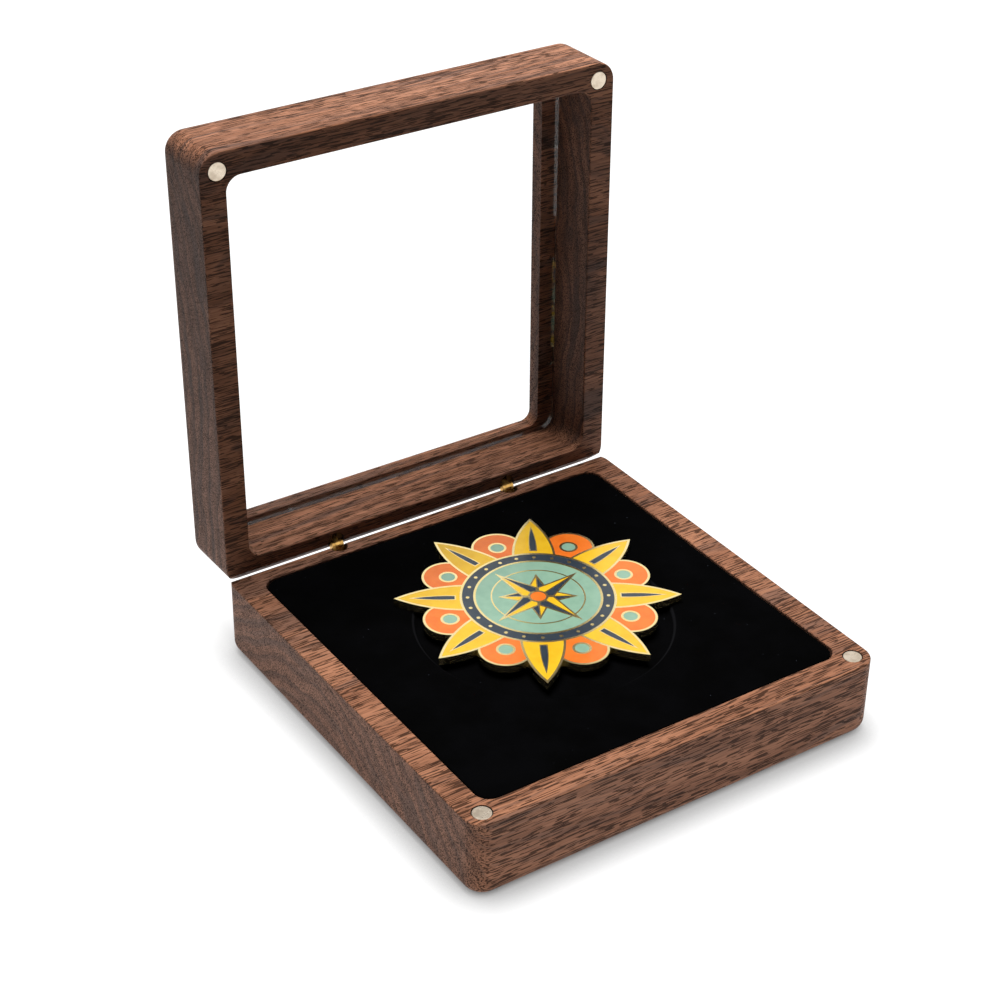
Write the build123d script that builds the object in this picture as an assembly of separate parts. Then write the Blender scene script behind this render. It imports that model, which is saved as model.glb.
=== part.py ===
from build123d import *
import os

# Coin display box: two walnut halves on barrel hinges, a clear pane in the lid,
# a velvet pad in the base and an enamelled medallion on the pad.
# Millimetres, +Z up, +Y towards the hinges, origin at the centre of the underside.

# Outside of the closed box
box_width = 125.0
box_depth = 125.0
base_height = 22.5
lid_height = 21.5
seam_gap = 0.1
corner_radius = 5.6
face_edge_radius = 3.7
mating_edge_radius = 0.4

# Hinge line: the chamfers let the lid swing back to its stop
open_angle = 90.9
axis_inset = 2.3
rear_chamfer = 3.1

# Base block
base_side_rail = 7.3
base_front_rail = 7.6
base_rear_rail = 7.5
base_floor = 6.0
cavity_radius = 4.2

# Lid frame, its window and the pane glued behind the lip
lid_side_rail = 7.2
lid_front_rail = 7.1
lid_rear_rail = 7.0
lip_side_width = 5.2
lip_front_width = 5.2
lip_rear_width = 2.1
lip_thickness = 5.0
window_radius = 3.0
window_edge_radius = 1.0
pane_thickness = 1.5
pane_gap = 0.3
glue_thickness = 0.15
glue_radius = 0.8
glue_from_wall = 1.2
glue_spacing = 34.0

# Disc magnets in the front corners
magnet_diameter = 5.0
magnet_thickness = 3.0
magnet_inset = 5.0
magnet_recess = 0.05
magnet_fit = 0.2
magnet_edge_radius = 0.25

# Barrel hinges
hinge_spacing = 57.0
barrel_diameter = 5.0
barrel_length = 10.8
barrel_inset = 3.4
barrel_top_gap = 1.15
barrel_rear_gap = 2.9
barrel_fit = 0.05
centre_leaf_thickness = 1.6
side_leaf_thickness = 0.85
leaf_running_gap = 0.08
slot_fit = 0.03
leaf_half_width = 1.0
cross_pin_depth = 4.6
cross_pin_diameter = 1.0
cross_pin_length = 4.6
knuckle_pin_diameter = 1.0
pin_fit = 0.02
pin_running_gap = 0.04
stop_heel_length = 1.9
stop_heel_half_width = 0.8
stop_gap = 0.05

# Velvet pad: board, foam and cover
board_thickness = 2.0
velvet_thickness = 0.8
velvet_below_rim = 0.15
pad_gap = 0.15
pad_edge_radius = 0.4
recess_diameter = 69.4
recess_depth = 1.6
recess_edge_radius = 0.6

# Medallion: die-cut body with pockets for the enamel
medal_thickness = 2.2
medal_turn = 14.0
medal_offset_x = 2.6
medal_offset_y = 6.5
pocket_depth = 0.5
enamel_below_line = 0.06
line_width = 0.65
point_count = 8
ray_reach = 18.2
ray_half_width = 6.0
ray_bulge = 1.5
vein_half_width = 0.75
vein_length = 11.0
petal_radius = 7.2
petal_beyond_ring = 5.4
bead_radius = 1.9
ring_radius = 20.4
ring_band = 3.0
stud_radius = 0.5
studs_per_point = 3
star_margin = 1.0
star_half_width = 3.0
short_star_share = 0.68
boss_radius = 2.1
chart_line_width = 0.4
chart_line_inset = 4.0

# Places that follow from the sizes above
half_width = box_width / 2
half_depth = box_depth / 2
rim_z = base_height
lid_z = base_height + seam_gap
axis_y = half_depth - axis_inset
axis_z = base_height + seam_gap / 2
barrel_y = half_depth - barrel_inset
velvet_top = rim_z - velvet_below_rim
board_top = base_floor + board_thickness
foam_top = velvet_top - velvet_thickness
lip_z = lid_z + lid_height - lip_thickness
pane_top = lip_z - glue_thickness
hinge_axis = Axis((0, axis_y, axis_z), (1, 0, 0))
stack_half_width = centre_leaf_thickness / 2 + leaf_running_gap + side_leaf_thickness


def swing(shape):
    """Turns a piece of the closed lid back to the open lid's place."""
    return shape.rotate(hinge_axis, -open_angle)


def block(x0, x1, y0, y1, z0, z1, radius=0.0):
    """An upright block between two corners, its four upright edges rounded."""
    width, depth, height = x1 - x0, y1 - y0, z1 - z0
    centre = Pos((x0 + x1) / 2, (y0 + y1) / 2, z0)
    if radius > 0:
        return centre * extrude(RectangleRounded(width, depth, radius), height)
    return centre * extrude(Rectangle(width, depth), height)


def cross_bar(diameter, length, x, y, z):
    """A round bar along X, centred on a point."""
    return Pos(x, y, z) * Rot(0, 90, 0) * Cylinder(diameter / 2, length)


def rear_bevel(z_mating, direction):
    """The wedge cut from a rear mating edge; direction is +1 up into the lid."""
    corner = (half_depth + rear_chamfer, z_mating - direction * rear_chamfer)
    front = (half_depth - rear_chamfer, z_mating - direction * rear_chamfer)
    mating = (half_depth - rear_chamfer, z_mating)
    rear = (half_depth, z_mating + direction * rear_chamfer)
    beyond = (half_depth + rear_chamfer, z_mating + direction * 2 * rear_chamfer)
    outline = make_face(Polyline(corner, front, mating, rear, beyond, close=True))
    return Pos(-half_width, 0, 0) * extrude(Plane.YZ * outline, box_width)


def outer_half(z0, z1, outer_face):
    """One half of the box as a solid block, rounded along its outer face."""
    blank = block(-half_width, half_width, -half_depth, half_depth, z0, z1, corner_radius)
    faces = blank.faces().sort_by(Axis.Z)
    face = faces[-1] if outer_face == "top" else faces[0]
    return fillet(face.edges(), face_edge_radius)


def magnet_places():
    """The front corners' magnet centres."""
    y = -half_depth + magnet_inset
    return {"left": (-half_width + magnet_inset, y), "right": (half_width - magnet_inset, y)}


def base_block():
    """Base half, cut from one board: pad cavity, magnet holes and barrel holes."""
    body = outer_half(0, rim_z, "bottom")
    body -= block(-half_width + base_side_rail, half_width - base_side_rail,
                  -half_depth + base_front_rail, half_depth - base_rear_rail,
                  base_floor, rim_z + 1, cavity_radius)
    body -= rear_bevel(rim_z, -1)
    rim = body.faces().filter_by(Axis.Z).sort_by(Axis.Z)[-1]
    body = fillet(rim.edges(), mating_edge_radius)
    for x, y in magnet_places().values():
        hole_depth = magnet_thickness + magnet_recess
        body -= Pos(x, y, rim_z - hole_depth) * cylinder_up(magnet_diameter / 2 + magnet_fit,
                                                            hole_depth + 1)
    for x in hinge_places().values():
        bottom = axis_z - barrel_top_gap - barrel_length
        body -= Pos(x, barrel_y, bottom) * cylinder_up(barrel_diameter / 2 + barrel_fit,
                                                       rim_z + 1 - bottom)
    return body


def cylinder_up(radius, height):
    """A cylinder that stands on its origin."""
    return extrude(Circle(radius), height)


def hinge_places():
    """The hinges' middles along X."""
    return {"left": -hinge_spacing / 2, "right": hinge_spacing / 2}


def lid_closed():
    """Lid half as it lies when closed: window, lip, magnet holes and barrel holes."""
    body = outer_half(lid_z, lid_z + lid_height, "top")
    x_in, y_front, y_rear = lid_cavity()
    body -= block(-x_in, x_in, y_front, y_rear, lid_z - 1, lip_z, cavity_radius)
    window = block(-x_in + lip_side_width, x_in - lip_side_width,
                   y_front + lip_front_width, y_rear - lip_rear_width,
                   lip_z - 1, lid_z + lid_height + 1, window_radius)
    body -= window
    top_face = body.faces().filter_by(Axis.Z).sort_by(Axis.Z)[-1]
    body = fillet(top_face.inner_wires()[0].edges(), window_edge_radius)
    body -= rear_bevel(lid_z, 1)
    rim = body.faces().filter_by(Axis.Z).sort_by(Axis.Z)[0]
    body = fillet(rim.edges(), mating_edge_radius)
    for x, y in magnet_places().values():
        hole_depth = magnet_thickness + magnet_recess
        body -= Pos(x, y, lid_z - 1) * cylinder_up(magnet_diameter / 2 + magnet_fit,
                                                   hole_depth + 1)
    for x in hinge_places().values():
        top = axis_z + barrel_top_gap + barrel_length
        body -= Pos(x, barrel_y, lid_z - 1) * cylinder_up(barrel_diameter / 2 + barrel_fit,
                                                          top - lid_z + 1)
    return body


def lid_cavity():
    """Half width, front and rear of the lid's cavity."""
    return half_width - lid_side_rail, -half_depth + lid_front_rail, half_depth - lid_rear_rail


def window_pane():
    """Clear pane behind the lip."""
    x_in, y_front, y_rear = lid_cavity()
    return block(-x_in + pane_gap, x_in - pane_gap, y_front + pane_gap, y_rear - pane_gap,
                 pane_top - pane_thickness, pane_top, cavity_radius)


def glue_beads():
    """Three dots of clear glue along each side of the lip."""
    x_in, y_front, y_rear = lid_cavity()
    middle_y = (y_front + y_rear) / 2
    bead = cylinder_up(glue_radius, glue_thickness)
    beads = []
    for step in (-glue_spacing, 0, glue_spacing):
        beads.append(Pos(step, y_front + glue_from_wall, pane_top) * bead)
        beads.append(Pos(step, y_rear - glue_from_wall, pane_top) * bead)
        beads.append(Pos(-x_in + glue_from_wall, middle_y + step, pane_top) * bead)
        beads.append(Pos(x_in - glue_from_wall, middle_y + step, pane_top) * bead)
    return beads


def magnet(x, y, z):
    """One disc magnet standing on a height, its rims rounded by the plating."""
    disc = cylinder_up(magnet_diameter / 2, magnet_thickness)
    return Pos(x, y, z) * fillet(disc.edges().filter_by(GeomType.CIRCLE), magnet_edge_radius)


def barrel(x, direction, slots):
    """A barrel whose slotted end faces the hinge line; direction is -1 down into the base."""
    low, high = sorted((axis_z + direction * barrel_top_gap,
                        axis_z + direction * (barrel_top_gap + barrel_length)))
    body = Pos(x, barrel_y, low) * cylinder_up(barrel_diameter / 2, high - low)
    step_low, step_high = sorted((axis_z, axis_z + direction * barrel_rear_gap))
    stop_y = axis_y - stop_heel_half_width - stop_gap
    body -= block(x - barrel_diameter, x + barrel_diameter, stop_y,
                  stop_y + barrel_diameter, step_low, step_high)
    slot_low, slot_high = sorted((axis_z, axis_z + direction * (cross_pin_depth
                                                                + leaf_half_width + slot_fit)))
    for x0, x1 in slots:
        body -= block(x + x0, x + x1, barrel_y - barrel_diameter, barrel_y + barrel_diameter,
                      slot_low, slot_high)
    return body - cross_bar(cross_pin_diameter + 2 * pin_fit, 2 * barrel_diameter,
                            x, barrel_y, axis_z + direction * cross_pin_depth)


def leaf(x0, x1, direction, knuckle_hole):
    """A flat leaf from its cross pin to the knuckle on the hinge line."""
    pin = (barrel_y, axis_z + direction * cross_pin_depth)
    knuckle = (axis_y, axis_z)
    run = Vector(knuckle[0] - pin[0], knuckle[1] - pin[1], 0)
    side = Vector(-run.Y, run.X, 0).normalized() * leaf_half_width
    corners = [(pin[0] + side.X, pin[1] + side.Y), (knuckle[0] + side.X, knuckle[1] + side.Y),
               (knuckle[0] - side.X, knuckle[1] - side.Y), (pin[0] - side.X, pin[1] - side.Y)]
    outline = make_face(Polyline(*corners, close=True))
    outline += Pos(*pin) * Circle(leaf_half_width)
    outline += Pos(*knuckle) * Circle(leaf_half_width)
    outline -= Pos(*pin) * Circle(cross_pin_diameter / 2 + pin_fit)
    outline -= Pos(*knuckle) * Circle(knuckle_hole)
    return Pos(x0, 0, 0) * extrude(Plane.YZ * outline, x1 - x0)


def stop_heel(x0, x1):
    """The heel on the centre leaf that lands on the base barrel's step when open."""
    outline = Pos(axis_y, axis_z - stop_heel_length / 2) * Rectangle(2 * stop_heel_half_width,
                                                                     stop_heel_length)
    outline -= Pos(axis_y, axis_z) * Circle(knuckle_pin_diameter / 2 + pin_running_gap)
    return Pos(x0, 0, 0) * extrude(Plane.YZ * outline, x1 - x0)


def hinge(side, x):
    """One barrel hinge: base pieces in place, lid pieces swung open."""
    half_centre = centre_leaf_thickness / 2
    inner = half_centre + leaf_running_gap
    outer = stack_half_width
    fixed = knuckle_pin_diameter / 2 + pin_fit
    running = knuckle_pin_diameter / 2 + pin_running_gap
    side_slots = [(-outer - slot_fit, -inner + slot_fit), (inner - slot_fit, outer + slot_fit)]
    centre_slot = [(-half_centre - slot_fit, half_centre + slot_fit)]
    base_pin_z = axis_z - cross_pin_depth
    lid_pin_z = axis_z + cross_pin_depth
    centre = leaf(x - half_centre, x + half_centre, 1, running)
    return {
        f"hinge_{side}_base_barrel": barrel(x, -1, side_slots),
        f"hinge_{side}_base_leaves": [leaf(x - outer, x - inner, -1, fixed),
                                      leaf(x + inner, x + outer, -1, fixed)],
        f"hinge_{side}_base_cross_pin": cross_bar(cross_pin_diameter, cross_pin_length,
                                                  x, barrel_y, base_pin_z),
        f"hinge_{side}_knuckle_pin": cross_bar(knuckle_pin_diameter, 2 * outer,
                                               x, axis_y, axis_z),
        f"hinge_{side}_lid_barrel": swing(barrel(x, 1, centre_slot)),
        f"hinge_{side}_lid_leaf": swing(centre) + stop_heel(x - half_centre, x + half_centre),
        f"hinge_{side}_lid_cross_pin": swing(cross_bar(cross_pin_diameter, cross_pin_length,
                                                       x, barrel_y, lid_pin_z)),
    }


def pad_outline(gap, z0, z1):
    """A block that fills the base cavity, less a gap all round."""
    return block(-half_width + base_side_rail + gap, half_width - base_side_rail - gap,
                 -half_depth + base_front_rail + gap, half_depth - base_rear_rail - gap,
                 z0, z1, cavity_radius)


def recess_centre():
    """The pad's middle, where the round recess lies."""
    return 0, (base_front_rail - base_rear_rail) / 2


def pad_foam():
    """Foam block with the round recess pressed into it."""
    x, y = recess_centre()
    radius = recess_diameter / 2 + velvet_thickness
    foam = pad_outline(pad_gap + velvet_thickness, board_top, foam_top)
    return foam - Pos(x, y, foam_top - recess_depth) * cylinder_up(radius, recess_depth + 1)


def velvet_cover():
    """Velvet over the foam's top, down its sides and into the recess."""
    x, y = recess_centre()
    cover = pad_outline(pad_gap, board_top, velvet_top)
    cover = fillet(cover.faces().sort_by(Axis.Z)[-1].edges(), pad_edge_radius)
    cover -= Pos(x, y, velvet_top - recess_depth) * cylinder_up(recess_diameter / 2,
                                                                recess_depth + 1)
    rim = cover.edges().filter_by(GeomType.CIRCLE).sort_by(SortBy.RADIUS)
    top_rim = [edge for edge in rim if abs(edge.center().Z - velvet_top) < 0.01][-1]
    return fillet(top_rim, recess_edge_radius) - pad_foam()


def ring_of(sketch, count, start=0.0):
    """Copies of a sketch round the medallion's middle."""
    return Sketch() + [Rot(0, 0, start + 360 * step / count) * sketch for step in range(count)]


def pointed(inner_radius, tip_radius, width, bulge):
    """A pointed leaf along +X with arched sides."""
    middle = (inner_radius + tip_radius) / 2
    low = ThreePointArc((inner_radius, -width), (middle, -width / 2 - bulge), (tip_radius, 0))
    high = ThreePointArc((tip_radius, 0), (middle, width / 2 + bulge), (inner_radius, width))
    return make_face([low, high, Line((inner_radius, width), (inner_radius, -width))])


def star_point(tip_radius, width):
    """One straight point of the compass star along +X, from the middle."""
    return make_face(Polyline((0, 0), (width, -width), (tip_radius, 0), (width, width),
                              close=True))


def upper_half(radius):
    """Everything on the left of the +X line, out to a radius."""
    return Pos(radius / 2, radius / 2) * Rectangle(radius, radius)


def medallion():
    """The medallion's outline and its enamel pockets, one sketch for each colour."""
    half_line = line_width / 2
    petal_turn = 180 / point_count
    ray = pointed(ring_radius - line_width, ring_radius + ray_reach, ray_half_width, ray_bulge)
    rays = ring_of(ray, point_count)
    petal_x = ring_radius + petal_beyond_ring
    petals = ring_of(Pos(petal_x, 0) * Circle(petal_radius), point_count, petal_turn)
    plate = Circle(ring_radius + line_width) + rays + petals

    ray_field = offset(ray, -line_width) - Circle(ring_radius + line_width)
    vein_x = ring_radius + 3 * line_width
    vein = pointed(vein_x, vein_x + vein_length, vein_half_width, vein_half_width / 2)
    vein_rim = pointed(vein_x - half_line, vein_x + vein_length + 2 * line_width,
                       vein_half_width + half_line, vein_half_width / 2)
    veins = ring_of(vein, point_count)
    yellow = ring_of(ray_field - vein_rim, point_count)

    petal_field = Pos(petal_x, 0) * Circle(petal_radius - line_width)
    beads = ring_of(Pos(petal_x, 0) * Circle(bead_radius), point_count, petal_turn)
    bead_rims = ring_of(Pos(petal_x, 0) * Circle(bead_radius + line_width),
                        point_count, petal_turn)
    orange = ring_of(petal_field, point_count, petal_turn) - rays - bead_rims
    orange -= Circle(ring_radius + line_width)

    stud_count = studs_per_point * point_count
    studs = ring_of(Pos(ring_radius - ring_band / 2, 0) * Circle(stud_radius), stud_count)
    ring = Circle(ring_radius) - Circle(ring_radius - ring_band) - studs

    field_radius = ring_radius - ring_band - line_width
    long_tip = field_radius - star_margin
    star_field = field_radius - chart_line_inset
    long_point = star_point(long_tip, star_half_width)
    short_point = star_point(long_tip * short_star_share, star_half_width)
    long_points = ring_of(long_point, 4)
    short_points = ring_of(short_point, 4, 45)
    boss_rim = Circle(boss_radius + line_width)
    chart_line = Circle(star_field) - Circle(star_field - chart_line_width)
    star = long_points + short_points
    teal = Circle(field_radius) - star - chart_line - boss_rim

    long_inner = offset(long_point, -line_width * 0.7)
    short_inner = offset(short_point, -line_width * 0.7) - Rot(0, 0, 45) * long_points
    spine = Pos(field_radius / 2, 0) * Rectangle(field_radius, half_line)
    light, dark = [], []
    for inner, start in ((long_inner, 0), (short_inner, 45)):
        clear = inner - spine - boss_rim
        left = clear & upper_half(field_radius)
        right = clear - upper_half(field_radius)
        light.append(ring_of(left, 4, start))
        dark.append(ring_of(right, 4, start))
    yellow += light
    slate = ring + veins + dark
    orange += Circle(boss_radius)
    teal += beads
    return plate, {"yellow": yellow, "orange": orange, "teal": teal, "slate": slate}


def medal_pieces():
    """Medallion body with its pockets, and the enamel that fills them."""
    x, y = recess_centre()
    place = Pos(x + medal_offset_x, y + medal_offset_y, velvet_top) * Rot(0, 0, medal_turn)
    plate, pockets = medallion()
    body = extrude(plate, medal_thickness)
    floor = medal_thickness - pocket_depth
    pieces = {}
    for colour, sketch in pockets.items():
        body -= Pos(0, 0, floor) * extrude(sketch, pocket_depth + 1)
        fill = Pos(0, 0, floor) * extrude(sketch, pocket_depth - enamel_below_line)
        pieces[f"enamel_{colour}"] = [place * solid for solid in fill.solids()]
    pieces["medal_body"] = place * body
    return pieces


def all_pieces():
    """Every piece of the open box by name; a list is a group of like pieces."""
    pieces = {
        "base_block": base_block(),
        "lid_frame": swing(lid_closed()),
        "window_pane": swing(window_pane()),
        "pane_glue_beads": [swing(bead) for bead in glue_beads()],
        "pad_backing_board": pad_outline(pad_gap, base_floor, board_top),
        "pad_foam": pad_foam(),
        "velvet_cover": velvet_cover(),
    }
    for side, (x, y) in magnet_places().items():
        base_z = rim_z - magnet_recess - magnet_thickness
        pieces[f"base_magnet_{side}"] = magnet(x, y, base_z)
        pieces[f"lid_magnet_{side}"] = swing(magnet(x, y, lid_z + magnet_recess))
    for side, x in hinge_places().items():
        pieces.update(hinge(side, x))
    pieces.update(medal_pieces())
    return pieces


os.makedirs("parts", exist_ok=True)
for name, piece in all_pieces().items():
    shape = Compound(piece) if isinstance(piece, list) else piece
    export_step(shape, f"parts/{name}.step")
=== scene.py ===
import math

import bmesh
import bpy
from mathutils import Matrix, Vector
from mathutils.noise import noise


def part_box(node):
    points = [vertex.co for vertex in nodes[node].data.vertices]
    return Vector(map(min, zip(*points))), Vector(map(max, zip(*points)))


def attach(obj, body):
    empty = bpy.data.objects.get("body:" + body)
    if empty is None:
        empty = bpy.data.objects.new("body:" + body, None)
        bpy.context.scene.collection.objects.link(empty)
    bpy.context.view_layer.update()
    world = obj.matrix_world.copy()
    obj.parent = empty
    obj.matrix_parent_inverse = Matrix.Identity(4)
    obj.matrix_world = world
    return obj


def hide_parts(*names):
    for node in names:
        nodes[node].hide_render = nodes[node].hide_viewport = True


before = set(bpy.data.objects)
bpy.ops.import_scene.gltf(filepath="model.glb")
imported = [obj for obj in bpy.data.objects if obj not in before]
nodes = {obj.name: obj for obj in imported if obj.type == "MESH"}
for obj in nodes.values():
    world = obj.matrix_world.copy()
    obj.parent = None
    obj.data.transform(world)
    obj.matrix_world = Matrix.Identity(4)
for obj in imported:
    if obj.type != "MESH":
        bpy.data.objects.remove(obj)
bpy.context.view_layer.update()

# The base half of the box: one board of walnut, milled out for the pad, sanded and
# oiled. Its grain runs left to right, so the long faces show streaks and the short
# faces show end grain.


def paint(red, green, blue):
    """A colour as it is written for a screen, turned by the screen's curve into the
    light that shaders use."""
    parts = []
    for level in (red, green, blue):
        share = level / 255
        parts.append(share / 12.92 if share <= 0.04045 else ((share + 0.055) / 1.055) ** 2.4)
    return (*parts, 1.0)


class Value:
    """A shader socket that takes part in plain sums."""

    def __init__(self, finish, socket):
        self.finish = finish
        self.socket = socket

    def math(self, operation, first, second=0.0):
        inputs = {0: first, 1: second}
        return self.finish.node("ShaderNodeMath", {"operation": operation}, inputs)

    def __add__(self, other):
        return self.math("ADD", self, other)

    __radd__ = __add__

    def __sub__(self, other):
        return self.math("SUBTRACT", self, other)

    def __rsub__(self, other):
        return self.math("SUBTRACT", other, self)

    def __mul__(self, other):
        return self.math("MULTIPLY", self, other)

    __rmul__ = __mul__

    def __truediv__(self, other):
        return self.math("DIVIDE", self, other)

    def __abs__(self):
        return self.math("ABSOLUTE", self)

    def part(self):
        """The fraction that is left after whole turns are taken away."""
        return self.math("FRACT", self)

    def step(self, low, high):
        """0 below low, 1 above high, and smooth between them."""
        settings = {"interpolation_type": "SMOOTHSTEP", "clamp": True}
        inputs = {"Value": self, "From Min": low, "From Max": high}
        return self.finish.node("ShaderNodeMapRange", settings, inputs)


mm_per_metre = 1000


class Finish:
    """One material that is worked out from where a point lies on its piece."""

    def __init__(self, name):
        self.material = bpy.data.materials.new(name)
        self.material.use_nodes = True
        self.tree = self.material.node_tree
        self.tree.nodes.clear()

    def node(self, kind, settings=(), inputs=(), output=0):
        """Any node, from its type, settings and inputs; output is the socket in use."""
        made = self.tree.nodes.new(kind)
        for name, setting in dict(settings).items():
            setattr(made, name, setting)
        for name, value in dict(inputs).items():
            if isinstance(value, Value):
                self.tree.links.new(value.socket, made.inputs[name])
            else:
                made.inputs[name].default_value = value
        return Value(self, made.outputs[output]) if made.outputs else None

    def place(self):
        """Where a point lies on its piece, in millimetres."""
        where = self.node("ShaderNodeTexCoord", output="Object")
        return self.stretch(where, (mm_per_metre, mm_per_metre, mm_per_metre))

    def stretch(self, vector, scale, shift=(0, 0, 0)):
        """A vector scaled along each axis and then shifted."""
        settings = {"operation": "MULTIPLY_ADD"}
        return self.node("ShaderNodeVectorMath", settings, {0: vector, 1: scale, 2: shift})

    def length(self, vector):
        """How long a vector is."""
        return self.node("ShaderNodeVectorMath", {"operation": "LENGTH"}, {0: vector}, "Value")

    def axes(self, vector):
        """A vector's three parts."""
        return [self.node("ShaderNodeSeparateXYZ", {}, {0: vector}, side) for side in "XYZ"]

    def cloud(self, vector, detail=2.0, roughness=0.5):
        """Soft noise from 0 to 1, one lump for each unit of the vector."""
        inputs = {"Vector": vector, "Scale": 1.0, "Detail": detail, "Roughness": roughness}
        return self.node("ShaderNodeTexNoise", {}, inputs)

    def lumps(self, vector, per_mm, detail=2.0, roughness=0.5):
        """The same noise with so many lumps in each millimetre, whichever way."""
        return self.cloud(self.stretch(vector, (per_mm, per_mm, per_mm)), detail, roughness)

    def mix(self, share, first, second):
        """Two colours mixed by a share from 0 to 1."""
        settings = {"data_type": "RGBA"}
        return self.node("ShaderNodeMix", settings, {0: share, 6: first, 7: second}, 2)

    def bump(self, height, depth):
        """A surface normal for relief that is depth metres high."""
        return self.node("ShaderNodeBump", {}, {"Height": height, "Distance": depth})

    def shader(self, **inputs):
        """The surface itself; names are the shader's own with underscores."""
        named = {name.replace("_", " "): value for name, value in inputs.items()}
        return self.node("ShaderNodeBsdfPrincipled", {}, named)

    def done(self, surface):
        """The material, once its surface is joined to its output."""
        self.node("ShaderNodeOutputMaterial", {}, {"Surface": surface})
        return self.material


def walnut(name, heart, shift, light, middle, dark, smoky):
    """Walnut with its grain along X. Heart is the tree's middle seen from the end, and
    shift moves the figure along the plank, both in millimetres."""
    wood = Finish(name)
    spot = wood.place()
    moved = wood.stretch(spot, (1, 1, 1), shift)
    along, depth, height = wood.axes(moved)

    # Growth rings, with lumps per millimetre along, across and up the plank.
    wander_lumps, wander_reach = (0.009, 0.03, 0.03), 15
    ripple_lumps, ripple_reach = (0.03, 0.2, 0.2), 1.6
    year_width = 4.6
    wander = wood.cloud(wood.stretch(moved, wander_lumps)) - 0.5
    ripple = wood.cloud(wood.stretch(moved, ripple_lumps)) - 0.5
    across = wood.stretch(spot, (0, 1, 1), (0, -heart[0], -heart[1]))
    ring = wood.length(across) + wander * wander_reach + ripple * ripple_reach
    year = (ring / year_width).part()
    late = year.step(0.4, 0.95) * (1 - year.step(0.95, 1.0))

    # Streaks of colour that follow the layers of growth.
    layer = wood.node("ShaderNodeCombineXYZ", {},
                      {"X": along * 0.009, "Y": ring * 0.36, "Z": (depth + height) * 0.03})
    streak = wood.cloud(layer, 4.0, 0.6)
    smoke = wood.cloud(wood.stretch(layer, (0.8, 0.55, 1), (31, 7, 3)), 3.0, 0.55)
    thread = wood.cloud(wood.stretch(layer, (1.6, 3.2, 2), (5, 13, 17)))

    # Fibres and pores. Pores show as dashes on the long faces and dots on the ends, and
    # stand closer together in some places.
    fibre_lumps, crowd_lumps = (0.07, 2.8, 2.8), (0.02, 0.2, 0.2)
    dash_lumps, slit_lumps = (0.15, 3.1, 3.1), (0.26, 2.6, 2.6)
    fibre = wood.cloud(wood.stretch(moved, fibre_lumps), 1.0, 0.6)
    crowd = wood.cloud(wood.stretch(moved, crowd_lumps, (9, 2, 4))) * 0.18
    dash = wood.cloud(wood.stretch(moved, dash_lumps, (2, 8, 5)), 0.0)
    slit = wood.cloud(wood.stretch(moved, slit_lumps, (7, 1, 6)), 0.0)
    pore = (dash + crowd).step(0.69, 0.725)
    pore = pore + (slit + crowd).step(0.71, 0.74) * (1 - pore)

    # 1 on the ends, which face along the grain, and 0 on the long faces.
    _, facing_y, facing_z = wood.axes(wood.node("ShaderNodeTexCoord", output="Normal"))
    end = 1 - (facing_y * facing_y + facing_z * facing_z).step(0.05, 0.75)

    # How much of each is seen.
    late_share, late_on_ends = 0.3, 0.35
    smoke_share, thread_share, fibre_share, end_share, pore_share = 0.6, 0.5, 0.36, 0.34, 0.8
    tone = wood.mix(streak.step(0.36, 0.64), middle, light)
    tone = wood.mix(late * (late_share + end * late_on_ends), tone, dark)
    tone = wood.mix(smoke.step(0.52, 0.63) * smoke_share, tone, smoky)
    tone = wood.mix(thread.step(0.57, 0.67) * (1 - end) * thread_share, tone, smoky)
    tone = wood.mix(fibre.step(0.45, 0.62) * fibre_share, tone, dark)
    tone = wood.mix(end * end_share, tone, smoky)
    tone = wood.mix(pore * pore_share, tone, paint(24, 14, 10))

    # Pores are cut deep and stay dull, and the fibres roughen the oiled surface.
    oiled_roughness, pore_depth = 0.5, 0.00005
    relief = 1 - pore * 0.9 + (fibre - 0.5) * 0.35
    gloss = oiled_roughness + pore * 0.2 + (fibre - 0.5) * 0.12
    return wood.done(wood.shader(Base_Color=tone, Roughness=gloss, Specular_IOR_Level=0.14,
                                 Normal=wood.bump(relief, pore_depth)))


def dress(material, *names):
    """Gives CAD nodes their finish."""
    for name in names:
        slots = nodes[name].data.materials
        slots.clear()
        slots.append(material)


dress(walnut("walnut_base", heart=(18, -34), shift=(0, 0, 0), light=paint(180, 125, 95),
             middle=paint(154, 104, 78), dark=paint(78, 50, 37), smoky=paint(116, 89, 77)),
      "base_block")

# The lid half: a frame from the same plank, its window cut through so that a narrow
# lip is left for the pane. It hangs open on its hinges a little past upright.

# Painted shade: the lid's tones are darker than the base's, standing in for the shade on its
# mating faces and inner walls.
dress(walnut("walnut_lid_painted_shade", heart=(230, 70), shift=(340, 22, 51), light=paint(178, 125, 97),
             middle=paint(141, 94, 69), dark=paint(56, 35, 27), smoky=paint(82, 66, 61)),
      "lid_frame")

# The pane is 1.5 mm clear acrylic, dropped in from the inside against the lip. Lamps
# and what the wood throws back shine straight through it, so it leaves no shadow on
# the pad.


def ray(finish, kind):
    """What the light path says of the ray that meets the surface."""
    return finish.node("ShaderNodeLightPath", output=kind)


def clear_sheet(name, tint, rough):
    """A clear sheet: glass to the eye, and open air to light on its way to the pad."""
    sheet = Finish(name)
    haze = sheet.lumps(sheet.place(), 0.04)
    glass = sheet.shader(Base_Color=sheet.mix(haze * 0.3, tint, paint(250, 252, 252)),
                         Roughness=rough, IOR=1.49, Transmission_Weight=1.0)
    passing = (ray(sheet, "Is Shadow Ray") + ray(sheet, "Diffuse Depth")).step(0.2, 0.8)
    open_air = sheet.node("ShaderNodeBsdfTransparent")
    return sheet.done(sheet.node("ShaderNodeMixShader", {}, {0: passing, 1: glass, 2: open_air}))


dress(clear_sheet("acrylic", tint=paint(253, 254, 254), rough=0.0), "window_pane")

# Dots of clear glue hold the pane to the lip, three along each side. They are pressed
# thin under it and show as faint warm spots.

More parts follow.
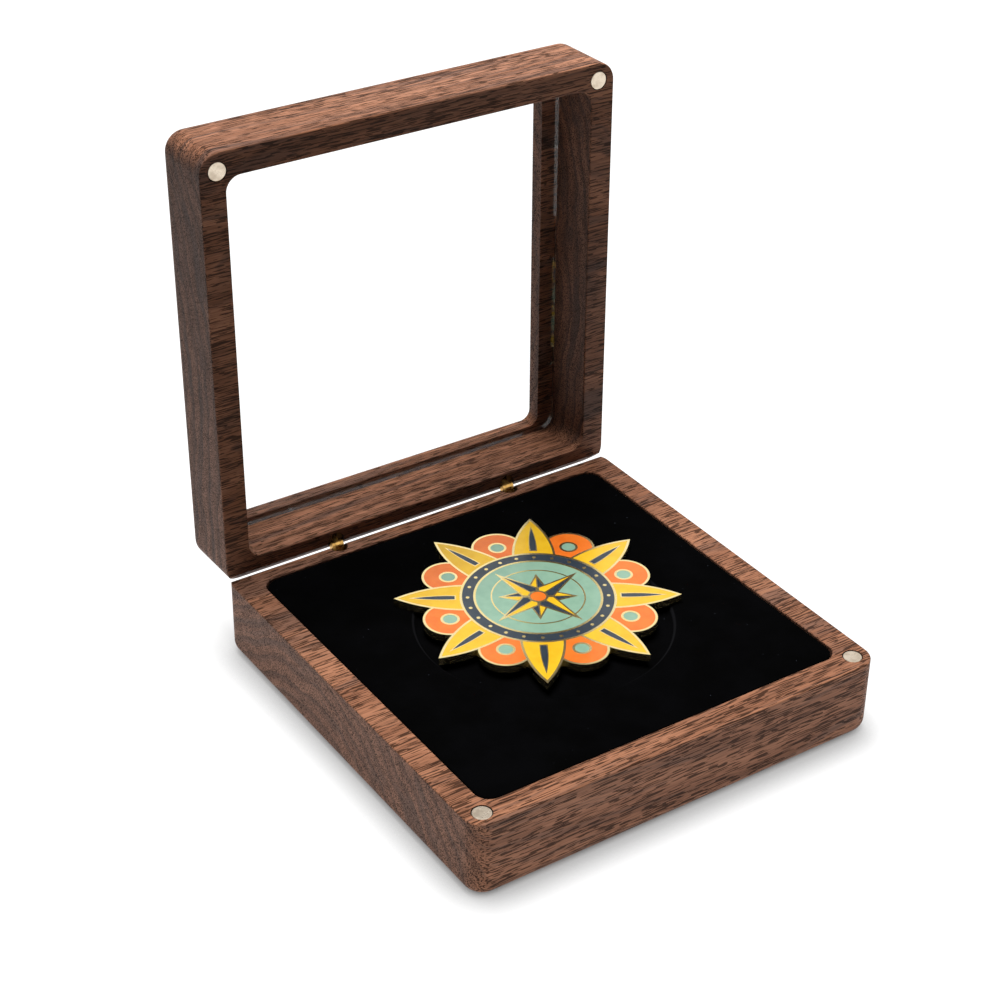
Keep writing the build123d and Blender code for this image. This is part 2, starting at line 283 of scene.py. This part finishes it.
dress(clear_sheet("clear_glue", tint=paint(240, 238, 228), rough=0.12), "pane_glue_beads")

# Two nickel-plated disc magnets in each half, pressed in flush. The plating is cream
# silver, faintly scuffed where the pairs snap together.


def plated(name, bright, worn, rough, scuff):
    """Metal with worn patches and fine scratches along X; scuff is how much they dull it."""
    scratch_lumps, scratch_depth = (0.9, 7.0, 7.0), 0.00001
    metal = Finish(name)
    spot = metal.place()
    patch = metal.lumps(spot, 0.5, 3.0).step(0.4, 0.7)
    scratch = metal.cloud(metal.stretch(spot, scratch_lumps), 3.0, 0.7).step(0.45, 0.7)
    colour = metal.mix(patch * 0.6, bright, worn)
    gloss = rough + patch * scuff + scratch * scuff * 0.8
    return metal.done(metal.shader(Base_Color=colour, Metallic=1.0, Roughness=gloss,
                                   Normal=metal.bump(scratch, scratch_depth)))


dress(plated("nickel", bright=paint(222, 208, 188), worn=paint(186, 170, 150),
             rough=0.26, scuff=0.16),
      "base_magnet_left", "base_magnet_right", "lid_magnet_left", "lid_magnet_right")

# Two barrel hinges turned from brass: a barrel is glued into each half, and flat
# leaves pinned in them meet at the knuckle pin on the hinge line. Leaves and pins are
# polished. The barrels are rougher, and their brass is painted much darker: painted
# shade for the drilled holes they sit in.

barrels = [name for name in nodes if name.startswith("hinge_") and name.endswith("_barrel")]
leaves_and_pins = [name for name in nodes
                   if name.startswith("hinge_") and name not in barrels]
dress(plated("brass", bright=paint(232, 184, 104), worn=paint(182, 132, 66),
             rough=0.24, scuff=0.2), *leaves_and_pins)
# Painted shade: the barrels' dark brass stands in for the shade of their holes.
dress(plated("brass_in_painted_shade", bright=paint(92, 66, 36), worn=paint(58, 42, 26),
             rough=0.5, scuff=0.2), *barrels)

# Under the pad lies a greyboard: pressed pulp with darker flecks, cut to the cavity
# and laid on its floor.

pulp_depth = 0.00005
board = Finish("greyboard")
spot = board.place()
pulp = board.lumps(spot, 1.1, 4.0, 0.7)
fleck = board.lumps(spot, 3.0, 1.0).step(0.66, 0.72)
pulp_tone = board.mix(pulp, paint(142, 134, 124), paint(172, 165, 154))
dress(board.done(board.shader(Base_Color=board.mix(fleck * 0.6, pulp_tone, paint(96, 90, 84)),
                              Roughness=0.92, Specular_IOR_Level=0.1,
                              Normal=board.bump(pulp, pulp_depth))), "pad_backing_board")

# The pad: black velvet drawn over a foam block and glued under it, with a round
# recess pressed in for coins. Its top rolls off softly at the walls and its pile
# takes almost all the light.

cover_low, cover_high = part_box("velvet_cover")
pad_half_x = (cover_high.x - cover_low.x) / 2
pad_half_y = (cover_high.y - cover_low.y) / 2
pad_centre = ((cover_low.x + cover_high.x) / 2, (cover_low.y + cover_high.y) / 2)
pad_corner = 0.0042
recess_radius = 0.0347
recess_depth = 0.0016
cloth_thickness = 0.0006


def rounded_square(half_x, half_y, corner, count):
    """Points round a square with round corners, evenly spaced, as offsets."""
    straight_x, straight_y = half_x - corner, half_y - corner
    quarter = math.pi / 2 * corner
    total = 4 * straight_x + 4 * straight_y + 4 * quarter
    points = []
    for step in range(count):
        left = (step / count) * total
        for turn in range(4):
            along = straight_y if turn % 2 == 0 else straight_x
            out = half_x if turn % 2 == 0 else half_y
            if left <= 2 * along:
                local = (out, left - along)
                break
            left -= 2 * along
            if left <= quarter:
                angle = left / corner
                local = (out - corner + corner * math.cos(angle),
                         along + corner * math.sin(angle))
                break
            left -= quarter
        angle = turn * math.pi / 2
        c, s = math.cos(angle), math.sin(angle)
        points.append((local[0] * c - local[1] * s, local[0] * s + local[1] * c))
    return points


def new_piece(name, mesh, material, smooth=True):
    """An object for a mesh, in the scene and in its finish."""
    piece = bpy.data.objects.new(name, mesh)
    bpy.context.scene.collection.objects.link(piece)
    mesh.materials.append(material)
    if smooth:
        mesh.shade_smooth()
    return piece


def soft_step(value, low, high):
    """0 below low, 1 above high, and smooth between them."""
    share = min(1.0, max(0.0, (value - low) / (high - low)))
    return share * share * (3 - 2 * share)


def pad_shell(name, half_x, half_y, top, bottom, recess, roll, sag, floor):
    """A closed pad: rings from the middle of the top, over the rim and down the sides.
    Roll is the rim's radius, and a floor closes the pad from below."""
    count = 240
    outline = rounded_square(half_x, half_y, pad_corner, count)
    mesh = bmesh.new()
    rings = []

    def height(x, y):
        """The top's height: flat, less the pressed recess, the sag and slight lumps."""
        wall_inside, wall_outside = 0.0011, 0.0007
        lumps_per_metre, lump_height, lump_slice = 46, 0.00006, 3.7
        far = math.hypot(x, y)
        flat = soft_step(far, recess - wall_inside, recess + wall_outside)
        pressed = (1 - flat) * recess_depth
        lump = noise(Vector((x * lumps_per_metre, y * lumps_per_metre, lump_slice)))
        return top - pressed - sag - lump * lump_height

    # The top inside the recess and over its wall: circles, closest at the wall.
    inner_circles, circle_gap = 7, 0.004
    wall_offsets = (-0.0024, -0.0014, -0.0009, -0.0005, -0.0002,
                    0.0001, 0.0005, 0.001, 0.0018, 0.003)
    radii = [circle_gap * step for step in range(1, inner_circles + 1)]
    radii += [recess + offset for offset in wall_offsets]
    for far in radii:
        ring = []
        for x, y in outline:
            angle = math.atan2(y, x)
            px, py = far * math.cos(angle), far * math.sin(angle)
            ring.append(mesh.verts.new((px, py, height(px, py))))
        rings.append(ring)

    # The top outside the recess: from the last circle to the square of the rim.
    start = radii[-1]
    edge = 1 - roll / max(half_x, half_y)
    shares_outward = (0.16, 0.32, 0.48, 0.64, 0.78, 0.88, 0.94)
    for share in shares_outward:
        ring = []
        for x, y in outline:
            angle = math.atan2(y, x)
            px = (1 - share) * start * math.cos(angle) + share * x * edge
            py = (1 - share) * start * math.sin(angle) + share * y * edge
            ring.append(mesh.verts.new((px, py, height(px, py))))
        rings.append(ring)

    # The rim rolls over through a quarter turn, and the sides go straight down.
    roll_steps = 6
    side_levels = (0.75, 0.5, 0.25, 0.06)
    for turn in range(roll_steps + 1):
        angle = turn / roll_steps * math.pi / 2
        inset = roll * (1 - math.sin(angle))
        drop = roll * (1 - math.cos(angle))
        ring = []
        for x, y in outline:
            px, py = x * (1 - inset / half_x), y * (1 - inset / half_y)
            ring.append(mesh.verts.new((px, py, height(px, py) - drop)))
        rings.append(ring)
    for level in side_levels:
        z = bottom + (top - roll - bottom) * level
        rings.append([mesh.verts.new((x, y, z)) for x, y in outline])
    if floor:
        tuck = 0.992
        rings.append([mesh.verts.new((x * tuck, y * tuck, bottom)) for x, y in outline])

    for inner, outer in zip(rings, rings[1:]):
        for step in range(count):
            after = (step + 1) % count
            mesh.faces.new((inner[step], outer[step], outer[after], inner[after]))
    middle = mesh.verts.new((0, 0, height(0, 0)))
    for step in range(count):
        mesh.faces.new((middle, rings[0][step], rings[0][(step + 1) % count]))
    if floor:
        mesh.faces.new(tuple(reversed(rings[-1])))
    bmesh.ops.recalc_face_normals(mesh, faces=mesh.faces)
    made = bpy.data.meshes.new(name)
    mesh.to_mesh(made)
    mesh.free()
    for vertex in made.vertices:
        vertex.co.x += pad_centre[0]
        vertex.co.y += pad_centre[1]
    return made


def settle(piece, cap, pressure, hold):
    """Lets the cover swell like stretched cloth, no point further than cap metres."""
    last_frame = 16
    rest = [vertex.co.copy() for vertex in piece.data.vertices]
    group = piece.vertex_groups.new(name="held")
    for vertex in piece.data.vertices:
        group.add([vertex.index], hold(vertex.co), "REPLACE")
    cloth = piece.modifiers.new("cloth", "CLOTH")
    cloth.settings.effector_weights.gravity = 0
    cloth.settings.use_pressure = True
    cloth.settings.uniform_pressure_force = pressure
    cloth.settings.vertex_group_mass = "held"
    cloth.settings.mass = 0.2
    cloth.settings.tension_stiffness = 12
    cloth.settings.bending_stiffness = 0.4
    cloth.point_cache.frame_end = last_frame
    for step in range(1, last_frame + 1):
        bpy.context.scene.frame_set(step)
    depsgraph = bpy.context.evaluated_depsgraph_get()
    swollen = piece.evaluated_get(depsgraph).to_mesh()
    moved = [vertex.co.copy() for vertex in swollen.vertices]
    piece.evaluated_get(depsgraph).to_mesh_clear()
    piece.modifiers.remove(cloth)
    bpy.context.scene.frame_set(1)
    for vertex, start, end in zip(piece.data.vertices, rest, moved):
        step = end - start
        if step.length > cap:
            step *= cap / step.length
        vertex.co = start + step


def nearest_dot(finish, vector, per_mm):
    """How far a point lies from the nearest of many scattered dots."""
    inputs = {"Vector": finish.stretch(vector, (per_mm, per_mm, per_mm)), "Scale": 1.0}
    return finish.node("ShaderNodeTexVoronoi", {"feature": "F1"}, inputs)


velvet = Finish("black_velvet")
spot = velvet.place()
nap = velvet.lumps(spot, 0.07, 3.0, 0.6)
tuft = velvet.lumps(spot, 5.5, 2.0, 0.7)
lint_dots = nearest_dot(velvet, spot, 0.34)
lint_some = velvet.cloud(velvet.stretch(spot, (0.11, 0.11, 0.11), (4, 4, 4)), 1.0)
lint = (1 - lint_dots.step(0.012, 0.05)) * lint_some.step(0.5, 0.62)
pile = velvet.mix(nap.step(0.3, 0.7), paint(4, 4, 4), paint(7, 7, 8))
pile = velvet.mix(tuft.step(0.35, 0.8) * 0.5, pile, paint(12, 12, 13))
pile = velvet.mix(lint * 0.55, pile, paint(120, 126, 140))

# A thin grey ring is painted where the wall of the recess turns: a painted highlight
# for the light that the curved edge catches.
to_middle = (-mm_per_metre * pad_centre[0], -mm_per_metre * pad_centre[1], 0)
far = velvet.length(velvet.stretch(spot, (1, 1, 0), to_middle))
painted_rim_highlight = 1 - abs(far - mm_per_metre * recess_radius).step(0.1, 0.5)
# Painted highlight: the ring is lighter velvet along the recess wall.
pile = velvet.mix(painted_rim_highlight * 0.7, pile, paint(30, 30, 32))
tuft_depth = 0.00012
velvet_material = velvet.done(velvet.shader(
    Base_Color=pile, Roughness=0.95, Specular_IOR_Level=0.0, Sheen_Weight=0.02,
    Sheen_Roughness=0.35, Sheen_Tint=paint(150, 150, 160),
    Normal=velvet.bump(tuft, tuft_depth)))


def hold(point):
    """Held in the recess and at the glued lower edge, and freer between."""
    held_past_recess, held_above_edge, let_go = 0.001, 0.0005, 0.004
    far = math.hypot(point.x - pad_centre[0], point.y - pad_centre[1])
    near_recess = 1 - soft_step(abs(far - recess_radius), held_past_recess, let_go)
    low = 1 - soft_step(point.z - cover_low.z, held_above_edge, let_go)
    flat = 1 if far < recess_radius else 0
    return max(near_recess, low, flat)


cover_ease = 0.0001
cover_mesh = pad_shell("velvet_pad_cover", pad_half_x - cover_ease, pad_half_y - cover_ease,
                       cover_high.z, cover_low.z, recess_radius,
                       roll=0.0005, sag=0.0001, floor=False)
cover = new_piece("velvet_pad_cover", cover_mesh, velvet_material)
settle(cover, cap=0.0001, pressure=3.0, hold=hold)
thick = cover.modifiers.new("cloth_thickness", "SOLIDIFY")
thick.thickness = cloth_thickness
thick.offset = -1
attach(cover, "base")
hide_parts("velvet_cover")

# The foam block inside the cover: open-celled and grey, cut with a knife and pressed
# down under the recess. The velvet is drawn over it.

cell_depth = 0.0002
foam = Finish("open_cell_foam")
cells = nearest_dot(foam, foam.place(), 2.2)
cell_tone = foam.mix(cells.step(0.1, 0.7), paint(70, 70, 74), paint(98, 98, 102))
foam_material = foam.done(foam.shader(Base_Color=cell_tone, Roughness=0.95,
                                      Specular_IOR_Level=0.05,
                                      Normal=foam.bump(cells, cell_depth)))
foam_low, foam_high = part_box("pad_foam")
foam_half_x = (foam_high.x - foam_low.x) / 2
foam_half_y = (foam_high.y - foam_low.y) / 2
foam_recess_radius = recess_radius + 0.0008
foam_mesh = pad_shell("foam_block", foam_half_x, foam_half_y, foam_high.z, foam_low.z,
                      foam_recess_radius, roll=0.0008, sag=0.0002, floor=True)
block = new_piece("foam_block", foam_mesh, foam_material)
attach(block, "base")
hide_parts("pad_foam")

# The medallion: struck from metal and plated in polished gold, with thin raised lines
# between its pockets.

grain_depth = 0.000006
gold = Finish("gold_plate")
spot = gold.place()
polish = gold.lumps(spot, 0.35)
grain = gold.lumps(spot, 6)
gold_tone = gold.mix(polish, paint(255, 241, 190), paint(255, 226, 146))
dress(gold.done(gold.shader(Base_Color=gold_tone, Metallic=1.0,
                            Roughness=0.16 + grain * 0.1,
                            Normal=gold.bump(grain, grain_depth))), "medal_body")

# Its pockets are filled with soft enamel in four colours, baked to a low gloss. Each
# fill stops just below the gold lines.


def enamel(name, colour, deep):
    """Enamel that is a little deeper in tone where it has pooled."""
    pool_depth = 0.00003
    glaze = Finish(name)
    spot = glaze.place()
    pool = glaze.lumps(spot, 0.3)
    speck = glaze.lumps(spot, 4, 1.0)
    tone = glaze.mix(pool.step(0.3, 0.8) * 0.5, colour, deep)
    return glaze.done(glaze.shader(Base_Color=tone, Roughness=0.2 + speck * 0.1,
                                   Specular_IOR_Level=0.4, Coat_Weight=0.2,
                                   Normal=glaze.bump(pool, pool_depth)))


for colour_name, colour, deep in (
    ("yellow", paint(238, 190, 40), paint(224, 166, 22)),
    ("orange", paint(240, 122, 40), paint(222, 96, 26)),
    ("teal", paint(142, 178, 154), paint(120, 158, 138)),
    ("slate", paint(48, 58, 68), paint(36, 44, 54)),
):
    dress(enamel(f"enamel_{colour_name}", colour, deep), f"enamel_{colour_name}")

# The studio: a seamless white table under one soft box that hangs a little behind the
# box. The table throws some lamp light back on the upright faces, and near the box it
# also glows: a painted pool of light that adds to that bounce. Close to the box the
# glow is painted darker, a painted contact shadow.


def looked_at(finish):
    """1 where the eye sees a point straight, mirrored or through glass, and 0 where
    the point only lights something else."""
    straight, mirrored = ray(finish, "Is Camera Ray"), ray(finish, "Is Glossy Ray")
    through, scattered = ray(finish, "Is Transmission Ray"), ray(finish, "Diffuse Depth")
    return (straight + mirrored + through - scattered * 3).step(0.2, 0.8)


plain_white = (1, 1, 1, 1)
contact_shadow_reach = 0.0125
glow_near, glow_far, glow_strength = 100, 260, 1.15
table = Finish("seamless_white")
seen = looked_at(table)
paper = table.node("ShaderNodeBsdfDiffuse", {}, {"Color": paint(120, 120, 120)})
# Painted contact shadow: the glow dims where the box closes off the table's sky.
open_sky = table.node("ShaderNodeAmbientOcclusion", {"samples": 8},
                      {"Distance": contact_shadow_reach}, "AO")
# Painted pool of light: for rays that only light the box, the table glows near the middle.
painted_light_pool = (1 - table.length(table.place()).step(glow_near, glow_far)) * glow_strength
painted_table_glow = table.node("ShaderNodeEmission", {},
                  {"Color": plain_white, "Strength": open_sky * (seen + (1 - seen) * painted_light_pool)})
table_material = table.done(table.node("ShaderNodeAddShader", {}, {0: paper, 1: painted_table_glow}))

floor_mesh = bpy.data.meshes.new("studio_floor")
floor = bmesh.new()
bmesh.ops.create_grid(floor, x_segments=8, y_segments=8, size=6.0)
floor.to_mesh(floor_mesh)
floor.free()
new_piece("studio_floor", floor_mesh, table_material, smooth=False)

world = bpy.data.worlds.new("studio")
bpy.context.scene.world = world
world.use_nodes = True


class Surround(Finish):
    """The same way of making nodes, for the world's own tree."""

    def __init__(self, tree):
        self.tree = tree
        self.tree.nodes.clear()


fill_strength = 0.03
sky = Surround(world.node_tree)
dim = sky.node("ShaderNodeBackground", {}, {"Color": plain_white, "Strength": fill_strength})
white = sky.node("ShaderNodeBackground", {}, {"Color": plain_white, "Strength": 1.0})
both = sky.node("ShaderNodeMixShader", {}, {0: looked_at(sky), 1: dim, 2: white})
sky.node("ShaderNodeOutputWorld", {}, {"Surface": both})


def soft_box(name, place, aim, size, power):
    """A square lamp that lights the box and isn't mirrored in its metal and glass."""
    lamp = bpy.data.lights.new(name, "AREA")
    lamp.shape = "SQUARE"
    lamp.size = size
    lamp.energy = power
    holder = bpy.data.objects.new(name, lamp)
    holder.location = place
    holder.rotation_euler = (Vector(aim) - Vector(place)).to_track_quat("-Z", "Y").to_euler()
    holder.visible_glossy = False
    bpy.context.scene.collection.objects.link(holder)


soft_box("key_light", place=(0.03, 0.2, 1.0), aim=(0, 0, 0.03), size=0.45, power=14)

# The camera stands at the photograph's angle: left of the front, looking down on the
# open box, and rolled by a little less than a degree.

view = bpy.data.cameras.new("camera")
view.lens = 79.264
view.sensor_width = 36.0
view.clip_start = 0.05
view.clip_end = 30.0
camera = bpy.data.objects.new("camera", view)
camera.location = (-0.27918, -0.38911, 0.35824)
camera_aim = Vector((0.00485, 0.02878, 0.04244))
camera_roll = math.radians(0.915)
look = (camera_aim - camera.location).to_track_quat("-Z", "Y").to_matrix().to_4x4()
camera.rotation_euler = look.to_euler()
camera.rotation_euler.rotate_axis("Z", camera_roll)
bpy.context.scene.collection.objects.link(camera)
bpy.context.scene.camera = camera
bpy.context.scene.view_settings.view_transform = "Standard"
